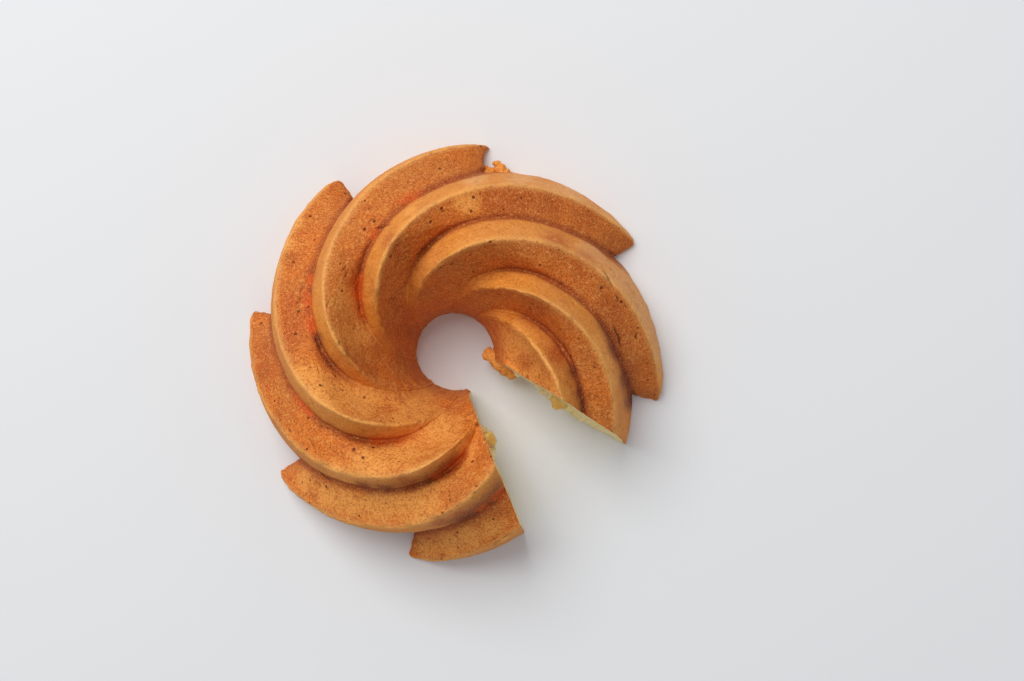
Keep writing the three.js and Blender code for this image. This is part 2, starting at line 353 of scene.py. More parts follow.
def ring_solid():
    """The ring with its relief, and what is known of each point of its skin."""
    points, t, across, faded = ring_grid()
    shape = points.shape
    flat = points.reshape(-1, 3)
    height, pit = relief(flat, across.ravel(), t.ravel())
    points = points + grid_normals(points) * height.reshape(shape[:2])[..., None]
    points = bite(points.reshape(-1, 3)).reshape(shape)
    foot, lip = points[:1].copy(), points[-1:].copy()
    foot[..., 2] = lip[..., 2] = -SINK
    points = np.concatenate([foot, points, lip])
    rows, columns = points.shape[:2]
    ring = mesh_object("cake_baked", points.reshape(-1, 3), grid_faces(rows, columns, closed=True))
    bm = bmesh.new()
    bm.from_mesh(ring.data)
    rims = [e for e in bm.edges if e.is_boundary]
    bmesh.ops.triangle_fill(bm, edges=rims, use_beauty=True, normal=(0, 0, -1))
    bmesh.ops.recalc_face_normals(bm, faces=bm.faces)
    bm.to_mesh(ring.data)
    bm.free()
    return ring, dict(place=flat, across=across.ravel(), t=t.ravel(), faded=faded.ravel(), pit=pit)


# ---------- the knife cuts ----------
CRUST, CRUMB, UNDERSIDE = range(3)  # material slots of the cake
SLAB = 14.0  # thickness of the slab that shaves each face to its final relief
RAG_ROOM = 6.0  # crumb that the rough wedge leaves standing, for shreds to be shaved from
WEDGE_REACH, WEDGE_ROOM = 200, 20  # length of the rough wedge, and what it has to spare above and below

# Shreds of crumb left standing on the faces: distance along, height, radius, how far they stand out.
RAGS = {
    "left": [(45, 34, 3.4, 2.2), (55, 30, 3.2, 2.6), (58, 40, 2.4, 1.6), (24, 12, 3.0, 1.4)],
    "right": [
        (21, 9, 4.2, 3.6), (27, 14, 2.6, 1.8), (36, 30, 2.2, 1.6), (50, 36, 2.6, 1.8), (53, 30, 2.4, 2.6),
        (57, 26, 2.6, 3.0), (68, 27, 2.6, 2.8), (72, 18, 7, 2.6), (82, 14, 8, 2.2), (93, 10, 8, 1.5),
        (103, 6, 6, 1.0),
    ],
}
CRUMB_BUMPS = [(0.22, 1.5, 5), (0.2, 3.6, 6), (0.3, 14, 7), (0.12, 0.8, 8)]
CAVITIES = 150  # in each face
CAVITY_RADIUS = (0.5, 2.0)
CAVITY_DEPTH = 1.3  # of each radius
CAVITY_REACH = (18, 112)  # along the cut
CAVITY_TOP = 84
CAVITY_STRETCH = (0.55, 1.0)

# The slab that cuts the underside.
FLOOR_HALF, FLOOR_FACET, FLOOR_SLAB = 128.0, 2.0, 9.0
FLOOR_HOLLOWS = [(0.9, 26, 12), (0.5, 9, 13), (0.25, 4, 14)]


def cut_axes(cut):
    a, side = math.radians(cut["angle"]), cut["side"]
    along = np.array([math.cos(a), math.sin(a), 0])
    out = np.array([-along[1] * side, along[0] * side, 0])
    return along, out, math.tan(math.radians(cut["lean"]))


def on_cut(cut, distance, z, away):
    """Points at a distance along the cut, at a height, and so far out of its face into the gap."""
    along, out, slope = cut_axes(cut)
    distance, z, away = np.broadcast_arrays(*(np.asarray(v, dtype=float) for v in (distance, z, away)))
    reach = (cut["offset"] + slope * z + away)[..., None]
    return along * distance[..., None] + out * reach + np.array([0, 0, 1.0]) * z[..., None]


def rough_wedge(name, inset):
    """The wedge between the two cuts, its faces moved into the gap by inset."""
    vertices = []
    for z in (-WEDGE_ROOM, CREST["peak_z"] + WEDGE_ROOM):
        p, q = (on_cut(cut, 0, z, inset) for cut in (CUT_LEFT, CUT_RIGHT))
        a, b = cut_axes(CUT_LEFT)[0], cut_axes(CUT_RIGHT)[0]
        m = ((q - p)[0] * b[1] - (q - p)[1] * b[0]) / (a[0] * b[1] - a[1] * b[0])
        ends = [on_cut(cut, WEDGE_REACH, z, inset) for cut in (CUT_LEFT, CUT_RIGHT)]
        vertices += [p + a * m, *ends]
    faces = [(0, 2, 1), (3, 4, 5), (0, 1, 4, 3), (1, 2, 5, 4), (2, 0, 3, 5)]
    return mesh_object(name, vertices, faces)


def crumb_relief(u, z, side, rags):
    """How far the crumb surface lies out of the knife's plane, in millimetres; cavities go below it."""
    points = np.stack([u, z, np.full_like(u, 40.0 * side)], axis=-1).reshape(-1, 3)
    height = layered(points, CRUMB_BUMPS).reshape(u.shape)
    rng = random.Random(40 + side)
    for _ in range(CAVITIES):
        cu, cz = rng.uniform(*CAVITY_REACH), CAVITY_TOP * rng.random() ** 1.25
        radius = CAVITY_RADIUS[0] + (CAVITY_RADIUS[1] - CAVITY_RADIUS[0]) * rng.random() ** 3
        stretch, turn = rng.uniform(*CAVITY_STRETCH), rng.uniform(0, math.pi)
        du, dz = u - cu, z - cz
        x = (du * math.cos(turn) + dz * math.sin(turn)) / radius
        y = (dz * math.cos(turn) - du * math.sin(turn)) / (radius * stretch)
        height -= CAVITY_DEPTH * radius * np.exp(-((x * x + y * y) ** 1.6))
    ragged = 1 + 0.5 * field(points, 1.4, 9).reshape(u.shape)
    for cu, cz, radius, rise in rags:
        d2 = ((u - cu) ** 2 + (z - cz) ** 2) / radius**2
        height += rise * ragged * np.exp(-(d2**1.5))
    return height


def slab(name, relief, corners):
    """A closed slab: a grid of points on one side, and on the other one face between four corners."""
    rows, columns = relief.shape[:2]
    n = rows * columns
    index = np.arange(n).reshape(rows, columns)
    faces = grid_faces(rows, columns, closed=False).tolist() + [[n, n + 2, n + 3, n + 1]]
    faces += [[*index[0], n + 1, n], [*index[-1][::-1], n + 2, n + 3]]
    faces += [[*index[:, 0][::-1], n, n + 2], [*index[:, -1], n + 3, n + 1]]
    made = mesh_object(name, np.concatenate([relief.reshape(-1, 3), corners]), faces)
    face_outwards(made)
    return made


def shaving_slab(name, cut, rags):
    """A slab with the crumb's relief on the side that faces the cake, and flat elsewhere."""
    u = np.arange(6.0, CUT_REACH, CUT_FACET)
    z = np.arange(-6.0, CREST["peak_z"] + 6, CUT_FACET)
    uu, zz = np.meshgrid(u, z)
    front = on_cut(cut, uu, zz, crumb_relief(uu, zz, cut["side"], rags))
    return slab(name, front, [on_cut(cut, a, b, SLAB) for b in (z[0], z[-1]) for a in (u[0], u[-1])])


def floor_slab(name):
    """Cuts the underside: flat on the table, with shallow hollows between the places that it rests on."""
    x = np.arange(-FLOOR_HALF, FLOOR_HALF + FLOOR_FACET, FLOOR_FACET)
    xx, yy = np.meshgrid(x, x)
    top = np.stack([xx, yy, np.zeros_like(xx)], axis=-1)
    top[..., 2] = np.maximum(layered(top.reshape(-1, 3), FLOOR_HOLLOWS), 0).reshape(xx.shape)
    return slab(name, top, [(a, b, -FLOOR_SLAB) for b in (x[0], x[-1]) for a in (x[0], x[-1])])


def face_outwards(obj):
    bm = bmesh.new()
    bm.from_mesh(obj.data)
    bmesh.ops.recalc_face_normals(bm, faces=bm.faces)
    bm.to_mesh(obj.data)
    bm.free()


def carve(obj, cutter, slot):
    """Cuts the cutter out of obj. The faces that it leaves get that material slot."""
    for mesh in (obj.data, cutter.data):
        while len(mesh.materials) <= UNDERSIDE:
            mesh.materials.append(None)
    cutter.data.polygons.foreach_set("material_index", [slot] * len(cutter.data.polygons))
    cut = obj.modifiers.new("cut", "BOOLEAN")
    cut.operation, cut.solver, cut.object = "DIFFERENCE", "MANIFOLD", cutter
    result = bpy.data.meshes.new_from_object(obj.evaluated_get(bpy.context.evaluated_depsgraph_get()))
    obj.modifiers.remove(cut)
    old, obj.data = obj.data, result
    bpy.data.meshes.remove(old)
    bpy.data.objects.remove(cutter)


ring, baked_skin = ring_solid()
skin_points = [Vector(v.co) for v in ring.data.vertices]
skin = BVHTree.FromPolygons(skin_points, [p.vertices[:] for p in ring.data.polygons])
carve(ring, floor_slab("underside"), UNDERSIDE)
carve(ring, rough_wedge("wedge", RAG_ROOM), CRUMB)
carve(ring, shaving_slab("left_cut", CUT_LEFT, RAGS["left"]), CRUMB)
carve(ring, shaving_slab("right_cut", CUT_RIGHT, RAGS["right"]), CRUMB)


# ---------- what the materials read off the shape ----------
# Patches of colour in the crust, some partly painted light and some partly painted shade: place from above,
# radius, in millimetres.
# Lighter gold stretches: partly the crust's own colour, partly painted light on flanks that face the light.
GOLDEN_AND_PAINTED_LIGHT = [
    (-80, -68, 8), (-54, -62, 9), (-17, 72, 4), (12, 76, 8), (21, -77, 4), (-85, 57, 5), (-82, 69, 4),
    (-85, 46, 4), (-56, -20, 13), (-68, -10, 9), (-12, -78, 12), (39, 5, 10), (-39, -23, 11),
    (-15, -26, 10), (-22, -38, 11), (-2, -39, 11), (8, -50, 11), (-7, -63, 10), (-49, 27, 9),
    (-46, 10, 10), (-39, -78, 10), (-53, -78, 9), (40, -8, 14), (54, -20, 7), (34, 8, 9),
    (-28, -76, 10), (-66, -76, 8), (-36, -54, 12), (-20, -49, 10), (0, -102, 9), (-15, -107, 8),
    (11, -97, 8), (24, -91, 7), (84, -3, 6), (88, -13, 6), (79, 7, 6),
]
# Darker, redder stretches: partly more thoroughly browned crust, partly painted shade on flanks turned from
# the light and on the hole's wall.
BAKED_AND_PAINTED_SHADE = [
    (26, 79, 9), (40, 79, 9), (54, 77, 9), (84, 24, 10), (89, 8, 9), (95, -9, 7), (-76, 22, 8),
    (-70, 42, 6), (-3, -86, 5), (8, -83, 5), (18, -79, 5), (-20, -60, 5), (-24, 12, 7), (-24, 22, 6),
    (70, 46, 9), (56, 56, 8), (46, 22, 9), (58, 0, 8), (-90, -36, 6), (-79, 27, 8), (-78, 8, 9),
    (-101, 1, 9), (-99, -12, 8), (-83, 48, 8), (-78, 18, 7), (-98, -10, 7), (28, 77, 8), (71, 72, 8),
    (-25, 56, 7), (41, -4, 6),
]
# Moist, orange stretches of the grooves.
EMBER = [
    (-19, 83, 6), (-25, 80, 4), (-42, 37, 5), (-42, 30, 6), (-41, 22, 5), (-69, 27, 5), (-70, 38, 4),
    (-68, 15, 6), (-74, -22, 6), (-70, -28, 5), (-34, -42, 6), (-23, -42, 6), (-13, -42, 6),
    (2, -54, 6), (7, -51, 6), (30, 2, 4), (27, -70, 5), (-75, 30, 4), (-38, 62, 5), (-52, 50, 4),
    (26, -71, 5), (17, -78, 5), (-18, -62, 5), (-5, -60, 5),
]
# Where the skin has torn off and shows moist orange crumb.
TORN = [(12, -36, 3.5), (14, -41, 4.5)]
# Stretches of the outward flanks that are pale and greyish: partly their own colour, partly painted light on
# flanks that face the light at the top and the right.
ASHEN_AND_PAINTED_LIGHT = [
    (62, 84, 14), (82, 66, 14), (96, 44, 15), (104, 22, 15), (108, 0, 14), (38, 94, 10), (74, 52, 9),
    (84, 34, 9), (-104, -50, 12), (-98, -66, 10), (-70, -82, 9), (14, 92, 8),
]
# Stretches of the grooves, and of the flanks above them, that are almost maroon: mostly painted shade on the
# outward flanks turned from the light, partly darker crust.
SINGED_AND_PAINTED_SHADE = [
    (67, -8, 6), (71, -19, 7), (73, -28, 7), (2, -83, 7), (10, -81, 8), (18, -77, 8), (26, -71, 6),
    (84, 15, 7), (88, 2, 8), (93, -14, 8), (95, -26, 6), (-18, -62, 8), (-6, -60, 8), (2, -56, 6),
    (-30, -66, 7), (-42, -66, 6), (-30, -60, 6), (-17, -56, 7), (-6, -54, 7), (3, -50, 6), (1, -77, 6),
    (9, -75, 8), (17, -71, 8), (24, -65, 7), (-74, 42, 6), (-73, 33, 6), (-66, 8, 6), (-62, -6, 6),
    (-22, 50, 5), (-10, -84, 7),
]
PATCHES = dict(golden_and_painted_light=GOLDEN_AND_PAINTED_LIGHT, baked_and_painted_shade=BAKED_AND_PAINTED_SHADE, ember=EMBER, torn=TORN, ashen_and_painted_light=ASHEN_AND_PAINTED_LIGHT, singed_and_painted_shade=SINGED_AND_PAINTED_SHADE)
PATCH_FALL = 1.3  # how quickly a patch runs out at its radius


def patches(places, marks):
    """How far each place lies inside one of the round marks, seen from above."""
    inside = np.zeros(len(places))
    for x, y, radius in marks:
        d2 = ((places[:, 0] - x) ** 2 + (places[:, 1] - y) ** 2) / radius**2
        inside = 1 - (1 - inside) * (1 - np.exp(-PATCH_FALL * d2))
    return inside


def write_attributes(obj, values):
    for name, data in values.items():
        attribute = obj.data.attributes.new(name, "FLOAT", "POINT")
        attribute.data.foreach_set("value", np.asarray(data, dtype=np.float32))


def mark_surface(obj):
    """Writes where each vertex lies: how deep under the skin, where on its ridge, and in which patches."""
    tree = kdtree.KDTree(len(baked_skin["place"]))
    for i, p in enumerate(baked_skin["place"]):
        tree.insert(p, i)
    tree.balance()
    places = [v.co / MM - AXIS for v in obj.data.vertices]
    near = [tree.find(p)[1] for p in places]
    across, t, faded, pit = (baked_skin[key][near] for key in ("across", "t", "faded", "pit"))
    # From 0 on the outward flank to 1 on the other, with short ramps at the groove and the crest.
    inward = np.clip((across - 1) * 10, 0, 1) * np.clip((2 - across) * 11, 0, 1)
    flat = np.array(places)
    values = {
        "depth": [skin.find_nearest(v.co)[3] / MM for v in obj.data.vertices],
        "groove": (1 - np.abs(1 - across)) * (1 - faded) + 0.5 * faded,
        "inward": inward * (1 - faded) + 0.8 * faded,
        "rise": t,
        "pit": pit,
        **{name: patches(flat, marks) for name, marks in PATCHES.items()},
    }
    write_attributes(obj, values)


def sharpen_cut_edges(obj):
    """Smooth faces, with a crisp edge wherever the material changes."""
    bm = bmesh.new()
    bm.from_mesh(obj.data)
    for face in bm.faces:
        face.smooth = True
    for edge in bm.edges:
        edge.smooth = len({face.material_index for face in edge.link_faces}) == 1
    bm.to_mesh(obj.data)
    bm.free()


mark_surface(ring)
sharpen_cut_edges(ring)


# ---------- apple pieces ----------
def bulge(v):
    """Between -1 and 1: a circle's sine or cosine turned into that of a rounded square."""
    return np.sign(v) * np.abs(v) ** APPLE_SQUARE


def apple_piece(i, apple):
    """A diced piece: a bulging block, its faces slightly wavy."""
    across, up = APPLE_GRID
    u, w = np.meshgrid(np.arange(across) * 2 * np.pi / across, np.linspace(0, np.pi, up)[1:-1])
    hx, hy, hz = apple["half"]
    x, y = (h * bulge(wave(u)) * bulge(np.sin(w)) for h, wave in ((hx, np.cos), (hy, np.sin)))
    body = np.stack([x, y, -hz * bulge(np.cos(w))], axis=-1).reshape(-1, 3)
    body = np.concatenate([body, [[0, 0, -hz], [0, 0, hz]]])
    body *= 1 + 0.05 * field(body, 5, 20 + i)[:, None] + 0.02 * field(body, 1.8, 30 + i)[:, None]
    a = math.radians(apple["turn"])
    turn = np.array([[math.cos(a), math.sin(a), 0], [-math.sin(a), math.cos(a), 0], [0, 0, 1]])
    vertices = body @ turn + on_cut(apple["cut"], apple["along"], apple["z"], apple["out"])
    n = len(body) - 2
    faces = grid_faces(up - 2, across, closed=True).tolist()
    faces += [[(j + 1) % across, j, n] for j in range(across)]
    faces += [[n - across + j, n - across + (j + 1) % across, n + 1] for j in range(across)]
    piece = mesh_object(f"apple_{i}", vertices, faces)
    face_outwards(piece)
    if apple["flush"]:
        carve(piece, rough_wedge("knife", APPLE_PROUD), CRUMB)
        piece.data.polygons.foreach_set("material_index", [0] * len(piece.data.polygons))
    piece.data.polygons.foreach_set("use_smooth", [True] * len(piece.data.polygons))
    return piece


pieces = [apple_piece(i + 1, apple) for i, apple in enumerate(APPLES)]


# ---------- crumbs that cling to the crust ----------
# Balls that each lump is made of: place, radius. The other two values say how its crust is coloured, as the
# crust's patches of those names do.
LUMPS = [
    dict(golden_and_painted_light=0.7, ember=0.0, balls=[
        (21.6, 103.6, 3.6, 1.2), (23.6, 102.8, 4.4, 2.0), (26.0, 100.6, 4.4, 2.6), (28.2, 98.0, 3.8, 2.2),
        (24.0, 99.8, 3.4, 2.6), (26.4, 97.0, 4.4, 2.8)]),
    dict(golden_and_painted_light=0.1, ember=0.9, balls=[
        (14.8, 101.2, 2.4, 1.6), (17.0, 100.4, 2.6, 2.0), (19.2, 99.4, 2.8, 2.0), (16.4, 98.4, 3.4, 2.6),
        (20.6, 98.4, 3.4, 2.6), (18.0, 97.4, 4.4, 3.0)]),
    dict(golden_and_painted_light=0.9, ember=0.1, balls=[
        (19.6, 1.4, 15, 1.6), (18.4, -0.2, 15, 2.2), (17.6, -1.8, 15, 2.0), (20.4, -1.8, 15.2, 3.4),
        (23.0, -3.4, 15.4, 4.2), (25.4, -6.2, 15, 4.4), (28.4, -9.0, 14.6, 4.0), (31.6, -11.6, 14.6, 3.2)]),
    dict(golden_and_painted_light=0.6, ember=0.0, balls=[(-88.6, -12.4, 28.0, 1.0), (-88.0, -14.0, 28.0, 0.8)]),
    dict(golden_and_painted_light=0.7, ember=0.0, balls=[
        (-47.0, 79.6, 50.0, 0.9), (-46.6, 77.8, 52.0, 1.1), (-46.8, 75.8, 53.0, 0.9)]),
    dict(golden_and_painted_light=0.7, ember=0.0, balls=[(-49.6, 45.6, 72.0, 0.9), (-48.2, 46.4, 72.0, 0.9)]),
]
LUMP_FACET = 0.32  # size of the facets
LUMP_BUMPS = (0.8, 4.0), (0.4, 1.8), (0.2, 0.7)  # height of each layer, size of its lumps
LUMP_SMOOTHING = 12  # rounds of smoothing where the balls have grown together


def crumb_lump(name, balls, seed, golden_and_painted_light, ember):
    """A lump of touching balls grown together, with a crumbly surface."""
    vertices, faces = [], []
    for x, y, z, radius in balls:
        bm = bmesh.new()
        bmesh.ops.create_icosphere(bm, subdivisions=3, radius=radius)
        start = len(vertices)
        vertices += [v.co + Vector((x, y, z)) for v in bm.verts]
        faces += [[start + v.index for v in f.verts] for f in bm.faces]
        bm.free()
    lump = mesh_object(name, vertices, faces)
    melt = lump.modifiers.new("melt", "REMESH")
    melt.mode, melt.voxel_size = "VOXEL", LUMP_FACET * MM
    smooth = lump.modifiers.new("smooth", "SMOOTH")
    smooth.factor, smooth.iterations = 0.5, LUMP_SMOOTHING
    lump.data = bpy.data.meshes.new_from_object(lump.evaluated_get(bpy.context.evaluated_depsgraph_get()))
    lump.modifiers.clear()
    places = [v.co / MM for v in lump.data.vertices]
    rough = layered(places, [(*layer, seed + i) for i, layer in enumerate(LUMP_BUMPS)])
    for vertex, amount in zip(lump.data.vertices, rough):
        vertex.co += vertex.normal * float(amount) * MM
    values = dict(groove=0.45, inward=0.3, rise=0.5, golden_and_painted_light=golden_and_painted_light, ember=ember)
    write_attributes(lump, {key: [value] * len(places) for key, value in values.items()})
    lump.data.polygons.foreach_set("use_smooth", [True] * len(lump.data.polygons))
    return lump


lumps = [crumb_lump(f"clinging_crumb_{i + 1}", seed=60 + 2 * i, **shape) for i, shape in enumerate(LUMPS)]


# ---------- materials ----------
def srgb(r, g, b):
    """A colour picked as 0 to 255 on a screen, as the linear values that a shader takes."""
    shares = (c / 255 for c in (r, g, b))
    return (*(c / 12.92 if c <= 0.04045 else ((c + 0.055) / 1.055) ** 2.4 for c in shares), 1)


# Crust colours: the gold, pale grey and pale ones serve partly as painted light, the browned, maroon, groove
# and pore ones partly as painted shade.
OUTER_GOLD, OUTER_TAN, OUTER_ASHEN_AND_PAINTED_LIGHT = srgb(227, 140, 50), srgb(221, 136, 58), srgb(233, 168, 106)
INNER_RUST, INNER_BROWN = srgb(214, 112, 36), srgb(201, 111, 44)
CRUST_GOLDEN_AND_PAINTED_LIGHT, CRUST_LIGHT, CRUST_PALE_AND_HIGHLIGHT = srgb(242, 160, 74), srgb(236, 160, 82), srgb(246, 184, 106)
CRUST_BAKED_AND_PAINTED_SHADE, CRUST_DARK, CRUST_SPECK_AND_PORE_SHADE = srgb(186, 86, 28), srgb(160, 78, 30), srgb(104, 42, 16)
CRUST_GROOVE_PAINTED_SHADE, CRUST_EMBER, CRUST_SINGED_AND_PAINTED_SHADE = srgb(150, 54, 18), srgb(214, 84, 12), srgb(112, 34, 18)
CRUST_TORN = srgb(220, 124, 40)
CRUMB_BASE, CRUMB_PALE, CRUMB_SHADE = srgb(246, 222, 156), srgb(250, 236, 190), srgb(214, 170, 90)
CRUMB_RIM = srgb(232, 176, 92)
APPLE_DEEP, APPLE_PALE, APPLE_CLEAR = srgb(218, 158, 52), srgb(244, 208, 118), srgb(238, 212, 138)
FLOOR_PALE = srgb(228, 229, 230)

# Sizes of the noise and spacing of the holes in the materials, in millimetres.
TONE_SIZE, MOTTLE_SIZE, GRAIN_SIZE, SPECK_SIZE = 26, 6.0, 1.5, 0.6
PORE_SPACING, PIT_SPACING, AIR_SPACING = 1.7, 5.0, 1.1


class Nodes:
    """Short calls for building a material's node tree."""

    def __init__(self, name):
        self.material = bpy.data.materials.new(name)
        self.material.use_nodes = True
        self.tree = self.material.node_tree
        self.shader = self.tree.nodes["Principled BSDF"]
        coordinates = self.tree.nodes.new("ShaderNodeTexCoord")
        scale = self.node("ShaderNodeVectorMath", {0: coordinates.outputs["Object"]}, operation="SCALE")
        scale.inputs["Scale"].default_value = 1 / MM
        self.place = scale.outputs[0]  # object coordinates in millimetres

    def node(self, kind, inputs=None, **settings):
        made = self.tree.nodes.new(kind)
        for key, value in settings.items():
            setattr(made, key, value)
        for key, value in (inputs or {}).items():
            self.feed(made.inputs[key], value)
        return made

    def feed(self, socket, value):
        if isinstance(value, bpy.types.NodeSocket):
            self.tree.links.new(value, socket)
        else:
            socket.default_value = value

    def attribute(self, name):
        return self.node("ShaderNodeAttribute", attribute_name=name).outputs["Fac"]

    def noise(self, size, detail=3.0, rough=0.55, stretch=None):
        """Noise with lumps of a size in millimetres."""
        place = self.place
        if stretch:
            place = self.node("ShaderNodeVectorMath", {0: place, 1: stretch}, operation="MULTIPLY").outputs[0]
        inputs = {"Vector": place, "Scale": 1 / size, "Detail": detail, "Roughness": rough}
        return self.node("ShaderNodeTexNoise", inputs).outputs["Fac"]

    def cells(self, size):
        """Distance to the nearest of scattered points, and a random value for that point."""
        made = self.node("ShaderNodeTexVoronoi", {"Vector": self.place, "Scale": 1 / size})
        chance = self.node("ShaderNodeSeparateColor", {0: made.outputs["Color"]}).outputs[0]
        return made.outputs["Distance"], chance

    def math(self, operation, a, b=None, c=None, clamp=False):
        inputs = {i: v for i, v in enumerate((a, b, c)) if v is not None}
        return self.node("ShaderNodeMath", inputs, operation=operation, use_clamp=clamp).outputs[0]

    def ramp(self, value, low, high, start=0.0, end=1.0):
        """value from low to high becomes start to end, smoothly."""
        inputs = {"Value": value, "From Min": low, "From Max": high, "To Min": start, "To Max": end}
        return self.node("ShaderNodeMapRange", inputs, interpolation_type="SMOOTHSTEP").outputs[0]

    def mix(self, amount, a, b):
        made = self.node("ShaderNodeMix", data_type="RGBA")
        self.feed(made.inputs["Factor"], amount)
        self.feed(made.inputs["A"], a)
        self.feed(made.inputs["B"], b)
        return made.outputs["Result"]

    def bump(self, height, distance, strength):
        inputs = {"Height": height, "Distance": distance * MM, "Strength": strength}
        return self.node("ShaderNodeBump", inputs).outputs[0]

    def finish(self, **sockets):
        for name, value in sockets.items():
            self.feed(self.shader.inputs[name.replace("_", " ")], value)
        return self.material


def crust_grain(n, base, inward, grain, speck):
    """Sandy grain over the base colour, coarser and darker on the rusty flanks."""
    coarse = n.math("MULTIPLY_ADD", inward, 0.25, 0.25)
    base = n.mix(n.math("MULTIPLY", n.ramp(grain, 0.52, 0.36), coarse), base, CRUST_DARK)
    base = n.mix(n.ramp(grain, 0.54, 0.7, 0, 0.4), base, CRUST_PALE_AND_HIGHLIGHT)
    base = n.mix(n.ramp(speck, 0.53, 0.7, 0, 0.45), base, CRUST_PALE_AND_HIGHLIGHT)
    return n.mix(n.math("MULTIPLY", n.ramp(speck, 0.47, 0.3), coarse), base, CRUST_SPECK_AND_PORE_SHADE)


def crust_holes(n, inward, rise, golden_and_painted_light, underside):
    """Pores and small pits: more on the flanks that face the hole, and none on the hole's smooth wall."""
    distance, chance = n.cells(PORE_SPACING)
    radius = n.ramp(chance, 0.4, 1.0, 0.0, 0.24)
    pores = n.ramp(n.math("SUBTRACT", distance, radius), 0.1, -0.06, 0, 0.6)
    distance, chance = n.cells(PIT_SPACING)
    radius = n.ramp(chance, 0.3, 1.0, 0.0, 0.18)
    pits = n.ramp(n.math("SUBTRACT", distance, radius), 0.02, -0.03, 0, 1.2)
    if underside:
        return n.math("MULTIPLY", n.math("MAXIMUM", pores, pits), 0.6)
    amount = n.math("MULTIPLY", n.math("MULTIPLY_ADD", inward, 0.7, 0.2), n.ramp(rise, 0.82, 0.62))
    pores = n.math("MULTIPLY", pores, n.ramp(golden_and_painted_light, 0.1, 0.9, 0.85, 0.35))
    return n.math("MULTIPLY", n.math("MAXIMUM", pores, pits), amount)


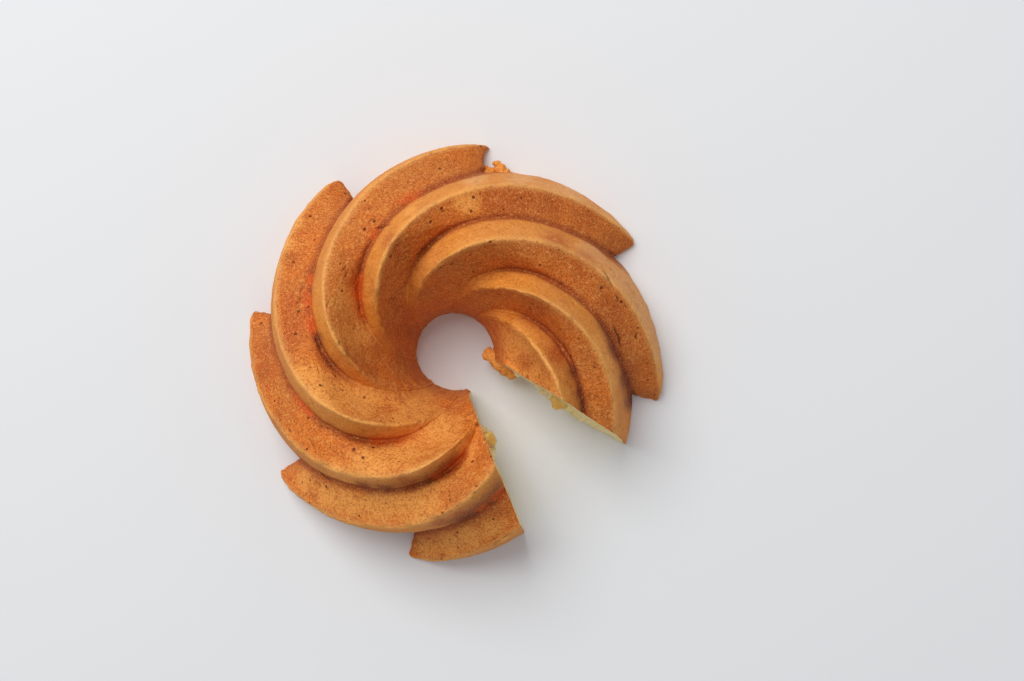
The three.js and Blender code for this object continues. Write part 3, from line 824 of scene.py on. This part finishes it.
def crust_material(title, underside=False):
    n = Nodes(title)
    marks = {name: n.attribute(name) for name in ("groove", "inward", "rise", "pit", *PATCHES)}
    groove, inward, rise = marks["groove"], marks["inward"], marks["rise"]
    tone, mottle = n.noise(TONE_SIZE, 3.0), n.noise(MOTTLE_SIZE, 4.0, 0.62)
    grain, speck = n.noise(GRAIN_SIZE, 3.0, 0.7), n.noise(SPECK_SIZE, 2.0, 0.6)
    wander = n.math("MULTIPLY", n.math("SUBTRACT", mottle, 0.5), 0.9)

    def patch(name, low, high, strength=1.0):
        """The patches of one kind, with uneven edges."""
        return n.ramp(n.math("ADD", marks[name], wander), low, high, 0, strength)

    # Flanks that face outwards are gold to tan, and paler and greyer in places, partly as painted light;
    # those that face the hole are rusty.
    outer = n.mix(n.ramp(tone, 0.36, 0.64), OUTER_GOLD, OUTER_TAN)
    outer = n.mix(patch("ashen_and_painted_light", 0.1, 0.9, 0.8), outer, OUTER_ASHEN_AND_PAINTED_LIGHT)
    inner = n.mix(n.ramp(tone, 0.36, 0.64), INNER_RUST, INNER_BROWN)
    ragged = n.math("MULTIPLY_ADD", n.math("SUBTRACT", grain, 0.5), 0.8, n.math("MULTIPLY", wander, 0.6))
    base = n.mix(n.ramp(n.math("ADD", inward, ragged), 0.3, 0.7), outer, inner)
    # Painted light, partly real colour: the gold patches lighten the crust.
    base = n.mix(patch("golden_and_painted_light", 0.1, 0.95, 0.85), base, CRUST_GOLDEN_AND_PAINTED_LIGHT)
    # Painted shade, partly real colour: the browned patches darken and redden the crust.
    base = n.mix(patch("baked_and_painted_shade", 0.1, 0.95, 0.85), base, CRUST_BAKED_AND_PAINTED_SHADE)
    base = n.mix(n.ramp(mottle, 0.48, 0.72, 0, 0.35), base, CRUST_LIGHT)
    base = n.mix(n.ramp(mottle, 0.48, 0.3, 0, 0.3), base, CRUST_DARK)
    # Painted highlight: the crests are lightened, less so towards the hole.
    edge = n.ramp(n.math("ADD", groove, n.math("MULTIPLY", ragged, 0.25)), 0.2, 0.0)
    edge = n.math("MULTIPLY", edge, n.ramp(rise, 0.8, 0.62, 0.05, 0.42))
    base = n.mix(edge, base, CRUST_PALE_AND_HIGHLIGHT)
    # Thin pale flanges run along the table, outside and in the hole.
    flange = n.math("MAXIMUM", n.ramp(rise, 0.014, 0.006), n.ramp(rise, 0.984, 0.992))
    base = n.mix(n.math("MULTIPLY", flange, 0.6), base, CRUST_PALE_AND_HIGHLIGHT)
    # Painted shade: the grooves are darkened and reddened, and the maroon patches reach far up the flank that
    # faces outwards.
    groove_shade = n.ramp(n.math("ADD", groove, n.math("MULTIPLY", wander, 0.25)), 0.76, 0.98, 0, 0.85)
    base = n.mix(n.math("MULTIPLY", groove_shade, n.ramp(rise, 0.9, 0.7, 0.3, 1)), base, CRUST_GROOVE_PAINTED_SHADE)
    reach = n.math("MULTIPLY_ADD", n.math("SUBTRACT", 1.0, inward), 0.55, groove)
    maroon_shade = n.math("MULTIPLY", patch("singed_and_painted_shade", 0.1, 0.9), n.ramp(reach, 0.62, 1.35))
    base = n.mix(n.math("MULTIPLY", maroon_shade, 0.85), base, CRUST_SINGED_AND_PAINTED_SHADE)
    moist = n.math("MULTIPLY", patch("ember", 0.1, 0.8), n.ramp(groove, 0.6, 0.92))
    base = n.mix(n.math("MULTIPLY", moist, 0.85), base, CRUST_EMBER)
    base = n.mix(patch("torn", 0.2, 0.6, 0.85), base, CRUST_TORN)
    base = crust_grain(n, base, inward, grain, speck)
    holes = crust_holes(n, inward, rise, marks["golden_and_painted_light"], underside)
    # Painted shade in the pores and small pits, and in the larger pits and the cracks.
    base = n.mix(n.math("MULTIPLY", holes, 0.8, clamp=True), base, CRUST_SPECK_AND_PORE_SHADE)
    base = n.mix(n.ramp(marks["pit"], 0.3, 0.9, 0, 0.75), base, CRUST_SPECK_AND_PORE_SHADE)
    height = n.math("MULTIPLY_ADD", grain, 0.5, n.math("MULTIPLY", speck, 0.25))
    bump = n.bump(n.math("SUBTRACT", height, holes), 0.6, 0.9)
    roughness = n.math("SUBTRACT", n.ramp(mottle, 0.3, 0.75, 0.66, 0.82), n.math("MULTIPLY", moist, 0.2))
    return n.finish(Base_Color=base, Roughness=roughness, Normal=bump, Specular_IOR_Level=0.2)


def crumb_material():
    n = Nodes("crumb_pale_yellow")
    depth = n.attribute("depth")
    cloud, fine = n.noise(MOTTLE_SIZE, 4.0), n.noise(0.9, 3.0, 0.6)
    base = n.mix(n.ramp(cloud, 0.35, 0.7), CRUMB_BASE, CRUMB_PALE)
    distance, chance = n.cells(AIR_SPACING)
    # Air holes in the crumb, with painted shade in them.
    air = n.math("MULTIPLY", n.ramp(distance, 0.4, 0.1), n.ramp(chance, 0.35, 0.9))
    base = n.mix(n.math("MULTIPLY", air, 0.45), base, CRUMB_SHADE)
    # Just under the crust the crumb turns darker.
    rim = n.math("ADD", depth, n.math("MULTIPLY", n.math("SUBTRACT", cloud, 0.5), 1.6))
    base = n.mix(n.ramp(rim, 3.0, 1.0), base, CRUMB_RIM)
    base = n.mix(n.ramp(rim, 1.25, 0.75), base, INNER_BROWN)
    bump = n.bump(n.math("SUBTRACT", n.math("MULTIPLY", fine, 0.6), air), 0.5, 0.9)
    return n.finish(Base_Color=base, Roughness=0.85, Normal=bump, Subsurface_Weight=0.25,
                    Subsurface_Radius=(0.004, 0.0025, 0.001), Subsurface_Scale=0.5, Specular_IOR_Level=0.25)


def apple_material():
    n = Nodes("apple_baked")
    cloud, fibre = n.noise(5, 3.0), n.noise(1.0, 3.0, 0.6, stretch=(1, 1, 0.35))
    base = n.mix(n.ramp(cloud, 0.3, 0.7), APPLE_DEEP, APPLE_PALE)
    base = n.mix(n.ramp(fibre, 0.4, 0.75, 0, 0.3), base, APPLE_CLEAR)
    roughness, bump = n.ramp(fibre, 0.3, 0.7, 0.28, 0.5), n.bump(fibre, 0.35, 0.6)
    return n.finish(Base_Color=base, Roughness=roughness, Normal=bump, Subsurface_Weight=0.55,
                    Subsurface_Radius=(0.006, 0.004, 0.0015), Subsurface_Scale=0.6)


ring.data.materials[CRUST] = crust_material("crust_baked")
ring.data.materials[CRUMB] = crumb_material()
ring.data.materials[UNDERSIDE] = crust_material("crust_underside", underside=True)
apple_look = apple_material()
for piece in pieces:
    piece.data.materials.clear()
    piece.data.materials.append(apple_look)

for lump in lumps:
    lump.data.materials.append(ring.data.materials[CRUST])
    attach(lump, "root")

ring.name = "cake_crust"
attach(ring, "root")
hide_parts("cake")
for i, piece in enumerate(pieces):
    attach(piece, "root")
    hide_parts(f"apple_piece_{i + 1}")

# ---------- floor, light and camera ----------
VIEW_FROM = Vector((71.6, 13.0, 825.0))  # the camera, in millimetres from the ring's axis
VIEW_AT = Vector((31.2, 6.3, 0.0))
FRAME_WIDTH = 563.2  # width of table that the picture takes in at VIEW_AT
SENSOR = 36
FLOOR_REACH = 3000

FLOOR_CORNERS = [(x * FLOOR_REACH, y * FLOOR_REACH, 0) for x, y in ((-1, -1), (1, -1), (1, 1), (-1, 1))]
floor = mesh_object("floor", FLOOR_CORNERS, [(0, 1, 2, 3)])
floor_look = Nodes("floor_pale").finish(Base_Color=FLOOR_PALE, Roughness=0.7, Specular_IOR_Level=0.2)
floor.data.materials.append(floor_look)


def area_light(name, azimuth, elevation, distance, size, power):
    """A soft light; azimuth is anticlockwise from +X. Distance and size in metres."""
    data = bpy.data.lights.new(name, "AREA")
    data.shape, data.size, data.energy = "DISK", size, power
    light = bpy.data.objects.new(name, data)
    bpy.context.scene.collection.objects.link(light)
    a, e = math.radians(azimuth), math.radians(elevation)
    light.location = Vector((math.cos(a) * math.cos(e), math.sin(a) * math.cos(e), math.sin(e))) * distance
    light.rotation_mode = "QUATERNION"
    light.rotation_quaternion = (-light.location).to_track_quat("-Z", "Y")


area_light("key", azimuth=120, elevation=56, distance=2.4, size=1.7, power=43)
world = bpy.data.worlds.new("studio")
world.use_nodes = True
background = world.node_tree.nodes["Background"].inputs
background["Color"].default_value = (0.95, 0.97, 1.0, 1)
background["Strength"].default_value = 0.44
bpy.context.scene.world = world
bpy.context.scene.view_settings.view_transform = "Standard"

camera_data = bpy.data.cameras.new("camera")
camera = bpy.data.objects.new("camera", camera_data)
bpy.context.scene.collection.objects.link(camera)
camera.location = (VIEW_FROM + AXIS) * MM
sight = VIEW_AT - VIEW_FROM
right = sight.cross(Vector((0, 1, 0))).normalized()
upward = right.cross(sight).normalized()
camera.rotation_mode = "QUATERNION"
camera.rotation_quaternion = Matrix((right, upward, -sight.normalized())).transposed().to_quaternion()
camera_data.sensor_width = SENSOR
camera_data.lens = SENSOR * sight.length / FRAME_WIDTH
bpy.context.scene.camera = camera
